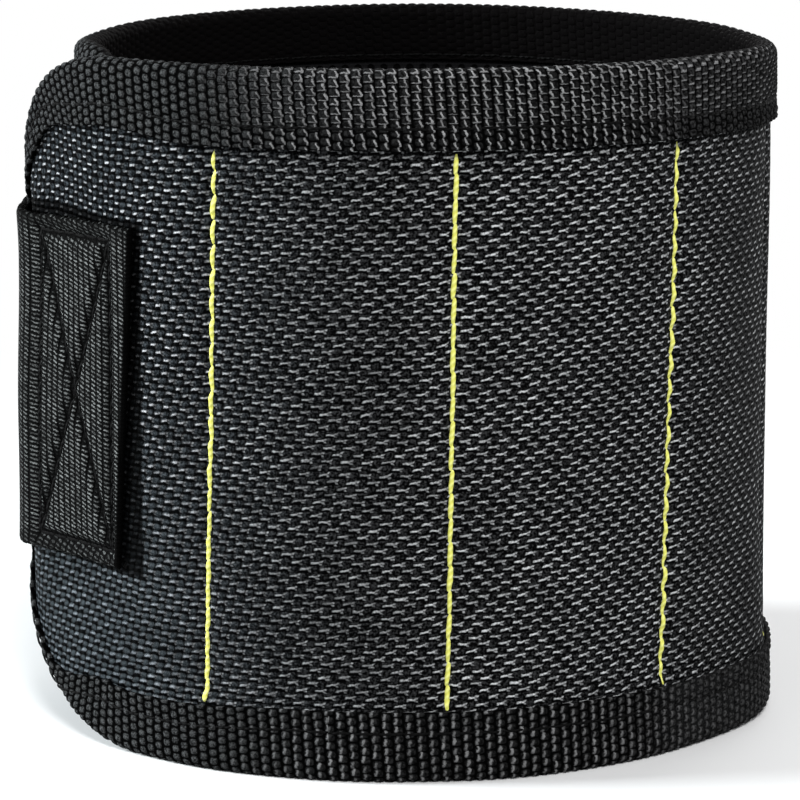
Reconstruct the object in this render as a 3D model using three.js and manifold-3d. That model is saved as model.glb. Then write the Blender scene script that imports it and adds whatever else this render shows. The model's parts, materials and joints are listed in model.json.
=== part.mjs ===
// Magnetic wristband, closed into an upright ring. Millimetres, +Z up.
// The ring's axis is the Z axis and the band stands on z = 0. Angles run round the ring from the
// front (-Y), positive towards +X. The band is drawn as a flat pattern and wrapped: a distance along
// it, a depth n from the shell's outer face (positive outwards) and a height z give a point.
// Its parts along the ring are the rounded left end, the magnet columns and the tail. The tail
// spirals inwards and tucks under the left end, and the strap of the left end closes over it.
import * as THREE from 'three';
import { mergeVertices } from 'three/addons/utils/BufferGeometryUtils.js';
import ManifoldModule from 'manifold-3d';

// Driving dimensions of the band
const bandHeight = 90;
const bandRadius = 49.9; // outer face of the shell
const firstSeamAngle = THREE.MathUtils.degToRad(-28.4);
const columnCount = 5;
const columnWidth = 31.5; // along the shell, seam to seam
const leftEndLength = 58; // from the first seam to the rounded tip
const tailTuck = 31.8; // how far the tail runs on under the left end, past its tip
const tailFoldBack = 30.2; // from the left end's tip back to the fold in the middle of the tail

// Outline of the two ends: each corner is a quarter of a superellipse
const leftEndRise = 1.5; // how far the rounded tip stands above mid height
const leftEndRoundBelow = 45.3; // length of the lower rounded corner along the band
const leftEndRoundAbove = 41;
const leftEndPower = 1.8;
const tailEndRound = 20;
const tailEndPower = 4;

// Cloth thicknesses
const shellThick = 0.8;
const hemThick = 0.8; // lining where it is sewn flat
const endPadThick = 2.6; // padded lining of the left end and the tail
const tapeThick = 0.5; // binding tape
const strapThick = 1.2;
const loopThick = 1;
const hookThick = 0.8;
const layerGap = 0.2; // air between neighbouring layers
const seamGap = 0.3; // slit between neighbouring stretches of the band
const tuckGap = 1.4; // room between the left end's lining and the tail under it

// Binding tape, folded over the edge
const tapeWidthOutside = 10;
const tapeWidthInside = 8;

// Quilting
const stitchDip = 0.5; // how deep a seam draws the shell in
const quiltPower = 4; // how sharply the cloth falls towards a seam
const fieldEdge = 0.5; // shell beyond the tape that stays flat
const padEdge = 1; // hem beyond the tape's inner leg
const slopeWidth = 3; // run of the slope between hem and full thickness

// Magnets
const magnetRows = 3;
const magnetDiameter = 15;
const magnetThick = 1.5;
const magnetChamfer = 0.3;
const pocketFloor = 1.4; // padding left under a magnet
const pocketSide = 0.3; // clearance round a magnet
const magnetToTape = 3; // least distance between a magnet and the tape

// Closing strap
const strapWidth = 46.5;
const strapPatch = 46; // length sewn on the left end, back from its tip
const strapReach = 58; // length beyond the left end's tip
const strapFoldAt = 29; // from the left end's tip to the fold of the pull end
const strapStep = 12; // run in which the strap comes down onto the tail
const strapOverhang = 1.5; // run past the tip before it comes down
const strapClimb = 7; // run in which the sewn patch climbs onto the tape
const strapEndRound = 9;
const strapEndPower = 4;
const hookMargin = 2.5; // strap that shows round the hook tape
const loopWidth = 56;
const loopStart = 9; // from the last seam
const loopTuck = 8.8; // how far the loop panel runs on under the left end

// Yellow seam thread
const threadWidth = 0.8;
const threadThick = 0.6;
const stitchLength = 3.8;
const stitchHollow = 0.3; // how far the thread sinks at each needle hole

// Facets
const facetLength = 6.5; // longest step along the band
const roundSteps = 12; // steps round one corner of an end
const roundShare = 1 - 1 / (2 * roundSteps); // share of the quarter turn they cover, short of the tip
const magnetSides = 16;

// Sizes that follow
const midHeight = bandHeight / 2;
const tipHeight = midHeight + leftEndRise;
const tapeProud = layerGap + tapeThick;
const tapeDepth = -(shellThick + layerGap + hemThick + layerGap + tapeThick);
const shellInset = tapeThick + layerGap;
const padTop = shellThick + layerGap;
const lastSeam = columnCount * columnWidth;
const lastSeamAngle = firstSeamAngle + lastSeam / bandRadius;
const leftTipAngle = firstSeamAngle - leftEndLength / bandRadius + 2 * Math.PI;
const padRadius = bandRadius - padTop;
const magnetSag = padRadius - Math.sqrt(padRadius ** 2 - (magnetDiameter / 2) ** 2);
const magnetTop = padTop + layerGap + magnetSag;
const magnetFloor = magnetTop + magnetThick + layerGap;
const columnPadThick = magnetFloor + pocketFloor - padTop;
const magnetMargin = tapeWidthOutside + magnetToTape;
const magnetPitch = (bandHeight - 2 * magnetMargin - magnetDiameter) / (magnetRows - 1);
const loopProud = layerGap + loopThick;
const strapOverTail = loopProud + layerGap + hookThick + layerGap;

// The tail runs on a smaller circle that leaves the ring at the last seam. Its step inwards at the
// left end's tip is the thickness of what lies over it there.
const tailInset = padTop + endPadThick + tuckGap + loopProud;
const tailShift = tailInset / (1 - Math.cos(leftTipAngle - lastSeamAngle));
const tailRadius = bandRadius - tailShift;
const tailToTip = tailRadius * (leftTipAngle - lastSeamAngle); // tail from the last seam to under the tip
const tailLength = tailToTip + tailTuck;
const tailFoldAt = tailToTip - tailFoldBack;
const loopEnd = tailToTip + loopTuck;

const polar = (angle, radius, z) =>
  new THREE.Vector3(radius * Math.sin(angle), -radius * Math.cos(angle), z);
const tailCentre = polar(lastSeamAngle, tailShift, 0);

const onRing = (along, n, z) => polar(firstSeamAngle + along / bandRadius, bandRadius + n, z);
const onLeftEnd = (reach, n, z) => onRing(-reach, n, z);
const onTail = (reach, n, z) =>
  polar(lastSeamAngle + reach / tailRadius, tailRadius + n, z).add(tailCentre);

// Distance from the ring's axis to the tail's surface at depth n, in the direction of an angle
function tailDistance(angle, n) {
  const turn = angle - lastSeamAngle;
  const across = tailShift * Math.sin(turn);
  return tailShift * Math.cos(turn) + Math.sqrt((tailRadius + n) ** 2 - across ** 2);
}

const clothColours = { shell: 0x1b1c20, tape: 0x141416, strap: 0x17181a, pad: 0x0d0d0f, loop: 0x101012 };
const cloth = (color) => new THREE.MeshStandardMaterial({ color, roughness: 0.85, metalness: 0 });
const shellMaterial = cloth(clothColours.shell);
const tapeMaterial = cloth(clothColours.tape);
const strapMaterial = cloth(clothColours.strap);
const padMaterial = cloth(clothColours.pad);
const loopMaterial = cloth(clothColours.loop);
const threadMaterial = new THREE.MeshStandardMaterial({ color: 0xe8e337, roughness: 0.6, metalness: 0 });
const magnetMaterial = new THREE.MeshStandardMaterial({ color: 0xc4c6c8, roughness: 0.25, metalness: 1 });

const band = new THREE.Group();

function addPiece(name, geometry, material) {
  const mesh = new THREE.Mesh(geometry, material);
  mesh.name = name;
  band.add(mesh);
}

// Even steps from one distance to another, none longer than facetLength
function steps(from, to) {
  const count = Math.max(1, Math.ceil(Math.abs(to - from) / facetLength));
  return Array.from({ length: count + 1 }, (_, i) => from + (to - from) * i / count);
}

const smooth = (value, from, to) => THREE.MathUtils.smoothstep(value, from, to);

// A closed sheet with a thickness. Each section holds two rows of points, the sheet's outer face and
// its inner face. Sections are joined along the sheet, and its two sides and two ends are closed.
function sheet(sections) {
  const rungs = sections[0].outer.length;
  const index = (i, side, j) => (i * 2 + side) * rungs + j;
  const points = sections.flatMap(({ outer, inner }) => [...outer, ...inner]);
  const faces = [];
  const quad = (a, b, c, d) => faces.push(a, b, c, a, c, d);
  for (let i = 0; i + 1 < sections.length; i++) {
    for (let j = 0; j + 1 < rungs; j++) {
      quad(index(i, 0, j), index(i, 0, j + 1), index(i + 1, 0, j + 1), index(i + 1, 0, j));
      quad(index(i, 1, j + 1), index(i, 1, j), index(i + 1, 1, j), index(i + 1, 1, j + 1));
    }
    const end = rungs - 1;
    quad(index(i, 1, 0), index(i, 0, 0), index(i + 1, 0, 0), index(i + 1, 1, 0));
    quad(index(i, 0, end), index(i, 1, end), index(i + 1, 1, end), index(i + 1, 0, end));
  }
  const last = sections.length - 1;
  for (let j = 0; j + 1 < rungs; j++) {
    quad(index(0, 0, j + 1), index(0, 0, j), index(0, 1, j), index(0, 1, j + 1));
    quad(index(last, 0, j), index(last, 0, j + 1), index(last, 1, j + 1), index(last, 1, j));
  }
  return outwards(points.flatMap((p) => [p.x, p.y, p.z]), faces);
}

// A geometry from corners and triangles, turned over if its faces point inwards
function outwards(corners, faces) {
  const corner = (i) => new THREE.Vector3().fromArray(corners, 3 * i);
  let volume = 0;
  for (let i = 0; i < faces.length; i += 3) {
    volume += corner(faces[i]).dot(corner(faces[i + 1]).cross(corner(faces[i + 2])));
  }
  const geometry = new THREE.BufferGeometry();
  geometry.setAttribute('position', new THREE.Float32BufferAttribute(corners, 3));
  geometry.setIndex(volume > 0 ? faces : [...faces].reverse());
  geometry.computeVertexNormals();
  return geometry;
}

const manifold = await ManifoldModule();
manifold.setup();

function toSolid(geometry) {
  const bare = geometry.clone();
  bare.deleteAttribute('normal');
  bare.deleteAttribute('uv');
  const merged = mergeVertices(bare);
  return new manifold.Manifold(new manifold.Mesh({
    numProp: 3,
    vertProperties: new Float32Array(merged.attributes.position.array),
    triVerts: new Uint32Array(merged.index.array),
  }));
}

function cutAway(geometry, cutters) {
  const cut = cutters.reduce((solid, cutter) => solid.subtract(toSolid(cutter)), toSolid(geometry));
  const { vertProperties, triVerts } = cut.getMesh();
  return outwards([...vertProperties], [...triVerts]);
}

// How strongly the nearest seam draws the cloth in: 1 on the seam, 0 in the middle of a column
const seamPull = (distance) => Math.max(0, 1 - 2 * distance / columnWidth) ** quiltPower;
const columnPull = (along) => seamPull(Math.min(along % columnWidth, columnWidth - along % columnWidth));

// Top and bottom edge of a stretch of band, moved in from the real edge by an inset
const straightEdge = {
  low: (reach, inset) => inset,
  high: (reach, inset) => bandHeight - inset,
};

// A rounded end: at a reach x each edge follows (x/a)^p + (z/b)^p = 1 about the corner's centre
function roundedEnd({ length, centre, roundBelow, roundAbove, power }) {
  const corner = (round, height) => ({ from: length - round, round, height });
  const below = corner(roundBelow, centre);
  const above = corner(roundAbove, bandHeight - centre);
  const half = ({ from, round, height }, reach, inset) => {
    const u = THREE.MathUtils.clamp((reach - from) / (round - inset), 0, 1);
    return (height - inset) * (1 - u ** power) ** (1 / power);
  };
  const rim = ({ from, round, height }, turn, inset) => [
    from + (round - inset) * Math.sin(turn) ** (2 / power),
    (height - inset) * Math.cos(turn) ** (2 / power),
  ];
  return {
    length, below, above,
    low: (reach, inset, least = 0) => centre - Math.max(half(below, reach, inset), least),
    high: (reach, inset, least = 0) => centre + Math.max(half(above, reach, inset), least),
    rimBelow: (turn, inset) => {
      const [reach, drop] = rim(below, turn, inset);
      return [reach, centre - drop];
    },
    rimAbove: (turn, inset) => {
      const [reach, rise] = rim(above, turn, inset);
      return [reach, centre + rise];
    },
  };
}

const leftEnd = roundedEnd({
  length: leftEndLength,
  centre: tipHeight,
  roundBelow: leftEndRoundBelow,
  roundAbove: leftEndRoundAbove,
  power: leftEndPower,
});
const tailEnd = roundedEnd({
  length: tailLength,
  centre: midHeight,
  roundBelow: tailEndRound,
  roundAbove: tailEndRound,
  power: tailEndPower,
});

// Distances to a rounded tip: even steps to where the corners start, then closer and closer together
function stepsToTip(from, start, tip) {
  const widest = Math.PI / 2 * roundShare;
  const round = Array.from({ length: roundSteps }, (_, i) =>
    start + (tip - start) * Math.sin(widest * (i + 1) / roundSteps));
  return [...steps(from, start), ...round];
}

const endSteps = (from, end) =>
  stepsToTip(from, Math.min(end.below.from, end.above.from), end.length - shellInset);

// A layer of a stretch: six rows from the bottom edge to the top edge, each with its inset, and the
// depth of its outer and inner face. Rows that a narrow tip has no room for close up on its middle.
const tapeRowRoom = 2; // least half height of the row at the tape
const fieldRowRoom = 1;
const rowRoom = [0, tapeRowRoom, fieldRowRoom];

function layerSection(wrap, edge, reach, insets, depths) {
  const rows = insets.map((inset, row) => ({ z: edge.low(reach, inset, rowRoom[row]), n: depths[row] }));
  const upper = insets.map((inset, row) => ({ z: edge.high(reach, inset, rowRoom[row]), n: depths[row] }));
  return [...rows, ...upper.reverse()].map(({ z, n }) => wrap(reach, n, z));
}

const shellInsets = [shellInset, tapeWidthOutside + fieldEdge, tapeWidthOutside + fieldEdge + slopeWidth];
const padInsets = [shellInset, tapeWidthInside + padEdge, tapeWidthInside + padEdge + slopeWidth];

function shellGeometry({ wrap, edge, stations, pull }) {
  const row = (reach, depth) => {
    const dip = stitchDip * pull(reach);
    return layerSection(wrap, edge, reach, shellInsets, [-depth, -depth, -depth - dip]);
  };
  return sheet(stations.map((reach) => ({ outer: row(reach, 0), inner: row(reach, shellThick) })));
}

// The padded lining is thin at its hem and at the seams and full in between
function padGeometry({ wrap, edge, stations, pull, thick }) {
  const fullHalf = 2 * slopeWidth;
  return sheet(stations.map((reach) => {
    const dip = stitchDip * pull(reach);
    const room = edge.high(reach, padInsets[2]) - edge.low(reach, padInsets[2]);
    const fill = Math.min(1, room / fullHalf) * (1 - pull(reach));
    const hem = padTop + hemThick;
    const deep = hem + (thick - hemThick) * fill + dip;
    return {
      outer: layerSection(wrap, edge, reach, shellInsets, [-padTop, -padTop, -padTop - dip]),
      inner: layerSection(wrap, edge, reach, padInsets, [-hem, -hem, -deep]),
    };
  }));
}

// Folded tape: one face of it, from the outside leg over the edge to the inside leg, as pairs of
// inset from the edge and depth. Each leg has a row in its middle, so that it follows the ring.
const tapeFace = (edge, outside, inside) => [
  [tapeWidthOutside, outside],
  [tapeWidthOutside / 2, outside],
  [edge, outside],
  [edge, inside],
  [tapeWidthInside / 2, inside],
  [tapeWidthInside, inside],
];
const tapeOuter = tapeFace(0, tapeProud, tapeDepth);
const tapeInner = tapeFace(tapeThick, layerGap, tapeDepth + tapeThick);

// Tape along a rim: rim(inset) gives the reach and height of every station at that inset
function tapeGeometry(wrap, rim) {
  const rims = new Map();
  for (const [inset] of [...tapeOuter, ...tapeInner]) rims.set(inset, rim(inset));
  const face = (profile, i) => profile.map(([inset, n]) => {
    const [reach, z] = rims.get(inset)[i];
    return wrap(reach, n, z);
  });
  return sheet(rims.get(0).map((_, i) => ({ outer: face(tapeOuter, i), inner: face(tapeInner, i) })));
}

// Tape that runs in along the top edge, round the end and back along the bottom edge
function endTapeGeometry(wrap, end, from) {
  const turns = Array.from({ length: roundSteps + 1 }, (_, i) => Math.PI / 2 * i / roundSteps);
  return tapeGeometry(wrap, (inset) => [
    ...steps(from, end.above.from).map((reach) => [reach, bandHeight - inset]),
    ...turns.slice(1).map((turn) => end.rimAbove(turn, inset)),
    ...turns.slice(0, -1).reverse().map((turn) => end.rimBelow(turn, inset)),
    ...steps(end.below.from, from).slice(1).map((reach) => [reach, inset]),
  ]);
}

function addStraightTapes(wrap, stations, topName, bottomName) {
  const top = (inset) => stations.map((reach) => [reach, bandHeight - inset]);
  const bottom = (inset) => stations.map((reach) => [reach, inset]);
  addPiece(topName, tapeGeometry(wrap, top), tapeMaterial);
  addPiece(bottomName, tapeGeometry(wrap, bottom), tapeMaterial);
}

// A radial cylinder in the middle of a column: its outer face lies at a depth below the shell
function radialDisc(profile, angle, depth, z) {
  const disc = new THREE.LatheGeometry(profile, magnetSides);
  disc.rotateX(Math.PI / 2);
  const outward = polar(angle, 1, 0);
  const turn = new THREE.Quaternion().setFromUnitVectors(new THREE.Vector3(0, 0, 1), outward);
  disc.applyQuaternion(turn);
  const { x, y } = polar(angle, bandRadius - depth, 0);
  disc.translate(x, y, z);
  return disc;
}

// Half profile of a magnet, from the middle of its inner face to the middle of its outer face
function magnetProfile() {
  const radius = magnetDiameter / 2;
  return [
    [0, -magnetThick],
    [radius - magnetChamfer, -magnetThick],
    [radius, -magnetThick + magnetChamfer],
    [radius, -magnetChamfer],
    [radius - magnetChamfer, 0],
    [0, 0],
  ].map(([x, y]) => new THREE.Vector2(x, y));
}

// A pocket opens past the lining's outer face, so that nothing is left over the magnet
function pocketProfile() {
  const radius = magnetDiameter / 2 + pocketSide;
  const mouth = magnetFloor;
  return [[0, 0], [radius, 0], [radius, mouth], [0, mouth]].map(([x, y]) => new THREE.Vector2(x, y));
}

const magnetHeights = Array.from({ length: magnetRows }, (_, row) =>
  midHeight + magnetPitch * (row - (magnetRows - 1) / 2));

function addColumn(number) {
  const from = (number - 1) * columnWidth;
  const middleAngle = firstSeamAngle + (from + columnWidth / 2) / bandRadius;
  const stations = steps(from + seamGap / 2, from + columnWidth - seamGap / 2);
  const stretch = { wrap: onRing, edge: straightEdge, stations, pull: columnPull };
  addPiece(`shell_column_${number}`, shellGeometry(stretch), shellMaterial);
  const pockets = magnetHeights.map((z) => radialDisc(pocketProfile(), middleAngle, magnetFloor, z));
  const pad = padGeometry({ ...stretch, thick: columnPadThick });
  addPiece(`pad_column_${number}`, cutAway(pad, pockets), padMaterial);
  addStraightTapes(onRing, stations, `binding_top_${number}`, `binding_bottom_${number}`);
  magnetHeights.forEach((z, row) => {
    const magnet = radialDisc(magnetProfile(), middleAngle, magnetTop, z);
    addPiece(`magnet_${number}_${row + 1}`, magnet, magnetMaterial);
  });
}

function addLeftEnd() {
  const from = seamGap / 2;
  const stretch = { wrap: onLeftEnd, edge: leftEnd, stations: endSteps(from, leftEnd), pull: seamPull };
  addPiece('shell_left_end', shellGeometry(stretch), shellMaterial);
  addPiece('pad_left_end', padGeometry({ ...stretch, thick: endPadThick }), padMaterial);
  addPiece('binding_left_end', endTapeGeometry(onLeftEnd, leftEnd, from), tapeMaterial);
}

function addTail() {
  const root = {
    wrap: onTail,
    edge: straightEdge,
    stations: steps(seamGap / 2, tailFoldAt - seamGap / 2),
    pull: seamPull,
  };
  addPiece('shell_tail_root', shellGeometry(root), shellMaterial);
  addPiece('pad_tail_root', padGeometry({ ...root, thick: endPadThick }), padMaterial);
  addStraightTapes(onTail, root.stations, 'binding_top_tail', 'binding_bottom_tail');
  const from = tailFoldAt + seamGap / 2;
  const tip = { wrap: onTail, edge: tailEnd, stations: endSteps(from, tailEnd), pull: seamPull };
  addPiece('shell_tail_tip', shellGeometry(tip), shellMaterial);
  addPiece('pad_tail_tip', padGeometry({ ...tip, thick: endPadThick }), padMaterial);
  addPiece('binding_tail_tip', endTapeGeometry(onTail, tailEnd, from), tapeMaterial);
}

function addLoopPanel(name, from, to) {
  const face = (reach, n) => [-1, 1].map((side) => onTail(reach, n, tipHeight + side * loopWidth / 2));
  const sections = steps(from, to).map((reach) => ({
    outer: face(reach, loopProud),
    inner: face(reach, layerGap),
  }));
  addPiece(name, sheet(sections), loopMaterial);
}

// The strap's inner face as a distance from the ring's axis, by the run past the left end's tip
// (negative on the sewn patch): over the shell, up onto the tape, past the tip and down to the tail
const angleAtRun = (run) => leftTipAngle - run / bandRadius;
const tapeMeetsStrap = (() => {
  const share = strapWidth / 2 / (leftEnd.below.height - tapeWidthOutside);
  const u = (1 - share ** leftEndPower) ** (1 / leftEndPower);
  return leftEnd.below.from + u * (leftEnd.below.round - tapeWidthOutside) - leftEndLength;
})();

function strapDistance(run, n) {
  const climb = smooth(run, tapeMeetsStrap - strapClimb, tapeMeetsStrap - layerGap);
  const overEnd = bandRadius + layerGap + tapeProud * climb;
  const overTail = tailDistance(angleAtRun(run), strapOverTail);
  const down = smooth(run, strapOverhang, strapOverhang + strapStep);
  return THREE.MathUtils.lerp(overEnd, overTail, down) + n;
}

// Half width of the strap near its free end, which has rounded corners
function strapHalf(run, inset) {
  const u = THREE.MathUtils.clamp((run - strapReach + strapEndRound) / (strapEndRound - inset), 0, 1);
  return (strapWidth / 2 - inset) * (1 - u ** strapEndPower) ** (1 / strapEndPower);
}

function strapGeometry(stations, outerFace, innerFace, inset) {
  const face = (run, n) => [-1, 1].map((side) =>
    polar(angleAtRun(run), strapDistance(run, n), tipHeight + side * strapHalf(run, inset)));
  return sheet(stations.map((run) => ({ outer: face(run, outerFace), inner: face(run, innerFace) })));
}

const strapEndSteps = (from, inset) => stepsToTip(from, strapReach - strapEndRound, strapReach - inset);

const fineSteps = (from, to) => {
  const stations = steps(from, to);
  return stations.flatMap((run, i) => (i ? [(stations[i - 1] + run) / 2, run] : [run]));
};

function addStrap() {
  const hinge = strapOverhang / 2;
  const patch = fineSteps(-strapPatch, hinge - seamGap / 2);
  const root = fineSteps(hinge + seamGap / 2, strapFoldAt - seamGap / 2);
  const pull = strapEndSteps(strapFoldAt + seamGap / 2, 0);
  const hook = strapEndSteps(strapFoldAt + hookMargin, hookMargin);
  addPiece('strap_anchor', strapGeometry(patch, strapThick, 0, 0), strapMaterial);
  addPiece('closing_strap', strapGeometry(root, strapThick, 0, 0), strapMaterial);
  addPiece('strap_pull_end', strapGeometry(pull, strapThick, 0, 0), strapMaterial);
  addPiece('hook_tape', strapGeometry(hook, -layerGap, -layerGap - hookThick, hookMargin), loopMaterial);
}

// One seam's thread, from tape to tape: a flat cord that follows the shell down into the quilting,
// swells in each stitch and sinks at each needle hole
function addThread(number) {
  const along = (number - 1) * columnWidth;
  const bottom = tapeWidthOutside + layerGap;
  const length = bandHeight - 2 * bottom;
  const stitches = Math.round(length / stitchLength);
  const section = (step) => {
    const z = bottom + length * step / (2 * stitches);
    const fromField = Math.min(z, bandHeight - z) - tapeWidthOutside - fieldEdge;
    const base = layerGap - stitchDip * THREE.MathUtils.clamp(fromField / slopeWidth, 0, 1);
    const top = base + threadThick - (step % 2 ? 0 : stitchHollow);
    const row = (n) => [-1, 1].map((side) => onRing(along + side * threadWidth / 2, n, z));
    return { outer: row(top), inner: row(base) };
  };
  const sections = Array.from({ length: 2 * stitches + 1 }, (_, step) => section(step));
  addPiece(`seam_thread_${number}`, sheet(sections), threadMaterial);
}

addLeftEnd();
for (let number = 1; number <= columnCount; number++) addColumn(number);
addTail();
addLoopPanel('loop_panel_root', loopStart, tailFoldAt - seamGap / 2);
addLoopPanel('loop_panel_tip', tailFoldAt + seamGap / 2, loopEnd);
addStrap();
for (let number = 1; number <= columnCount + 1; number++) addThread(number);

// Fold lines, all upright: each lies on the outermost face, so that opening only parts the cloth
band.userData.folds = {
  seams: Array.from({ length: columnCount + 1 }, (_, i) => onRing(i * columnWidth, tapeProud, 0)),
  tail: onTail(tailFoldAt, loopProud, 0),
  strap: polar(angleAtRun(strapOverhang / 2), strapDistance(strapOverhang / 2, strapThick), 0),
  pull: polar(angleAtRun(strapFoldAt), strapDistance(strapFoldAt, strapThick), 0),
};

export default band;
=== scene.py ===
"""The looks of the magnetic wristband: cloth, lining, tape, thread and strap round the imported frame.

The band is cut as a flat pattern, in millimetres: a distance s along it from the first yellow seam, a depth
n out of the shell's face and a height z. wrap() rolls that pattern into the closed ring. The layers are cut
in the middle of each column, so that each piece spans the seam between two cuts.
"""

import json
import math

import bpy
import numpy as np
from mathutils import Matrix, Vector


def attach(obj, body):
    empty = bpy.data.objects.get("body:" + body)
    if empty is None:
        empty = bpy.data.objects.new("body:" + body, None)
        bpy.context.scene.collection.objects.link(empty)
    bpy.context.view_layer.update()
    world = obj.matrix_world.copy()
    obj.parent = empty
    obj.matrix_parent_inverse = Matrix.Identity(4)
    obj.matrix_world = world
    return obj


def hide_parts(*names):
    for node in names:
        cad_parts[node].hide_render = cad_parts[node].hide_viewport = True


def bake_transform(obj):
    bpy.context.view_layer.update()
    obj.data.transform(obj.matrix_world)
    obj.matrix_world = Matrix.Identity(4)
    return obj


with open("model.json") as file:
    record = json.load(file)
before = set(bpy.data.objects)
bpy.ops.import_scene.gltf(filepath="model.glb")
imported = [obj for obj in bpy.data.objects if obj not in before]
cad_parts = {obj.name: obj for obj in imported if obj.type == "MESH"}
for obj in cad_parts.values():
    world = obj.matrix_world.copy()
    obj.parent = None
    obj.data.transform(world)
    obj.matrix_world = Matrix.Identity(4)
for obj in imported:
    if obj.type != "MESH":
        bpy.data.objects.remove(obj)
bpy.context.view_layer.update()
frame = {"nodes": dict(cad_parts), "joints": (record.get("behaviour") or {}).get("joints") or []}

# Sizes of the flat pattern, in millimetres, the same as in the solids
MM = 0.001
BAND_HEIGHT = 90.0
BAND_RADIUS = 49.9
FIRST_ANGLE = math.radians(-28.4)
COLUMN = 31.5
COLUMNS = 5
LEFT_END = 58.0
TAIL_TUCK = 31.8
TAIL_FOLD_BACK = 30.2
SHELL_THICK = 0.8
HEM_THICK = 0.8
END_PAD_THICK = 2.6
COLUMN_PAD_THICK = 3.88
TAPE_THICK = 0.5
STRAP_THICK = 1.2
LOOP_THICK = 1.0
HOOK_THICK = 0.8
LAYER_GAP = 0.2
TUCK_GAP = 1.4
TAPE_OUTSIDE = 10.0
TAPE_INSIDE = 8.0
STITCH_DIP = 0.5
STRAP_PATCH = 46.0
STRAP_REACH = 58.0
STRAP_FOLD = 29.0
STRAP_STEP = 12.0
STRAP_OVERHANG = 1.5
STRAP_CLIMB = 7.0
STRAP_ROUND = 9.0
STRAP_POWER = 4.0
HOOK_MARGIN = 2.5
LOOP_WIDTH = 56.0
LOOP_START = 9.0
LOOP_TUCK = 8.8
MAGNET_FLOOR = 3.48

MIDDLE = BAND_HEIGHT / 2
TIP_HEIGHT = MIDDLE + 1.5
PAD_TOP = SHELL_THICK + LAYER_GAP
SHELL_INSET = TAPE_THICK + LAYER_GAP
TAPE_PROUD = LAYER_GAP + TAPE_THICK
TAPE_DEPTH = SHELL_THICK + HEM_THICK + TAPE_THICK + 2 * LAYER_GAP
LOOP_PROUD = LAYER_GAP + LOOP_THICK
LAST_SEAM = COLUMNS * COLUMN
LAST_ANGLE = FIRST_ANGLE + LAST_SEAM / BAND_RADIUS
TIP_ANGLE = FIRST_ANGLE - LEFT_END / BAND_RADIUS + 2 * math.pi
TAIL_SHIFT = (PAD_TOP + END_PAD_THICK + TUCK_GAP + LOOP_PROUD) / (1 - math.cos(TIP_ANGLE - LAST_ANGLE))
TAIL_RADIUS = BAND_RADIUS - TAIL_SHIFT
TAIL_CENTRE = np.array([math.sin(LAST_ANGLE), -math.cos(LAST_ANGLE)]) * TAIL_SHIFT
TAIL_TO_TIP = TAIL_RADIUS * (TIP_ANGLE - LAST_ANGLE)
TAIL_LENGTH = TAIL_TO_TIP + TAIL_TUCK
TAIL_FOLD = LAST_SEAM + TAIL_TO_TIP - TAIL_FOLD_BACK
TAIL_END = LAST_SEAM + TAIL_LENGTH
TAIL_CUT = (LAST_SEAM + TAIL_FOLD) / 2

# The two rounded ends: length, height of the tip, run of the corner below and above, and the corner's power
LEFT = {"length": LEFT_END, "tip": TIP_HEIGHT, "below": 45.3, "above": 41.0, "power": 1.8}
TAIL = {"length": TAIL_LENGTH, "tip": MIDDLE, "below": 20.0, "above": 20.0, "power": 4.0}

# Cloth structure
WARP_PITCH = 1.29
WEFT_PITCH = 0.865
WEAVE_LEAN = 0.2
RIB = COLUMN / 22
BLOCK = 1.11
BLOCK_HEIGHT = 0.3
TAPE_LEAN = 0.07
STRAP_RIB = 1.36
STRAP_DASH = 0.57

# Stitches: their length, the yellow seams' slants and shifts, and each thread's radius, dip at its holes
# and slant
YELLOW_STITCH = 70 / 23
SEAM_SLANT = np.array([0.023, 0.014, 0.029, 0.014, 0.014, 0.014])
SEAM_SHIFT = np.array([-0.5, -0.2, 0.3, -0.2, -0.2, -0.2])
TAPE_STITCH = 3.0
TAPE_STITCH_INSET = 7.3
YELLOW_THREAD = {"radius": 0.33, "sink": 0.2, "slant": 0.09}
TAPE_THREAD = {"radius": 0.18, "sink": 0.3, "slant": 0.05}
STRAP_THREAD = {"radius": 0.22, "sink": 0.3, "slant": 0.05}

# The strap's webbing, a little narrower than its solid, with a cut end that slants
STRAP_WIDTH = 44.6
CUT_SLANT = 0.08

# The strap's stitching, as run and height of the corners: the box and cross on the sewn patch and the pull
# end's box
BOX_RUN = (-40.8, -23.2)
BOX_HEIGHT = (26.2, 66.7)
STITCH_GROOVE = 0.75
PULL_BOX_RUN = (35.5, STRAP_REACH - 4.5)
PULL_BOX_HEIGHT = (TIP_HEIGHT - 19, TIP_HEIGHT + 19)

# What the sewn strap does to the left end: its two flats, as distance from the axis and facing in degrees,
# how far the ring stands out at the bend, and the power that rounds the flats' corners
PATCH_FLATS = ((48.85, -54.5), (49.2, -90.0))
PATCH_BULGE = 1.4
PATCH_CORNER = 90

# Fineness of the meshes: steps along the band, rows across a piece, and points across the tape's face
SHELL_STEP = 0.5
SHELL_ROWS = 108
PAD_STEP = 0.75
PAD_ROWS = 90
LOOP_STEP = 0.8
LOOP_ROWS = 70
PATCH_STATIONS = 170
PATCH_ROWS = 140
PULL_ROWS = 100
HOOK_ROWS = 60
TAPE_FACE = 106
TAIL_TAPE_FACE = 84
TAPE_BACK = 24


def smooth(x, low, high):
    """Smoothstep: 0 below low, 1 above high, 3t^2 - 2t^3 in between."""
    t = np.clip((x - low) / (high - low), 0, 1)
    return t * t * (3 - 2 * t)


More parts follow.
